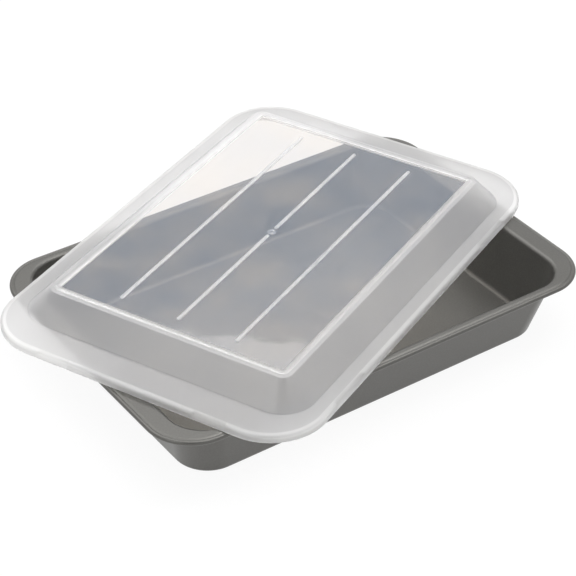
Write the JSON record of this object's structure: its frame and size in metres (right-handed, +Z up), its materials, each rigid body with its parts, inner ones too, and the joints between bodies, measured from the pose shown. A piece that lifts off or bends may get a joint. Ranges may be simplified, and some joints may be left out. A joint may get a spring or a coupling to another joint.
{
  "type": "cake pan with lid",
  "caption": "Oblong sheet-steel cake pan with leaning walls, a flat flange and a rolled rim, and its domed clip-on plastic lid lying askew and loose on the rim.",
  "frame": {"origin": "centre of the pan's flat underside, where it stands on the table", "axes": "+X along the pan's long side, +Y along its short side, +Z up out of the pan"},
  "size_m": [0.4194, 0.3602, 0.076],
  "materials": {
    "coated_steel": "warm grey non-stick coat with a fine light fleck, satin",
    "clear_plastic": "natural translucent plastic, finely frosted dome and flange, clear window"
  },
  "bodies": {
    "root": {"pan": "coated_steel", "lid": "clear_plastic"}
  },
  "joints": []
}
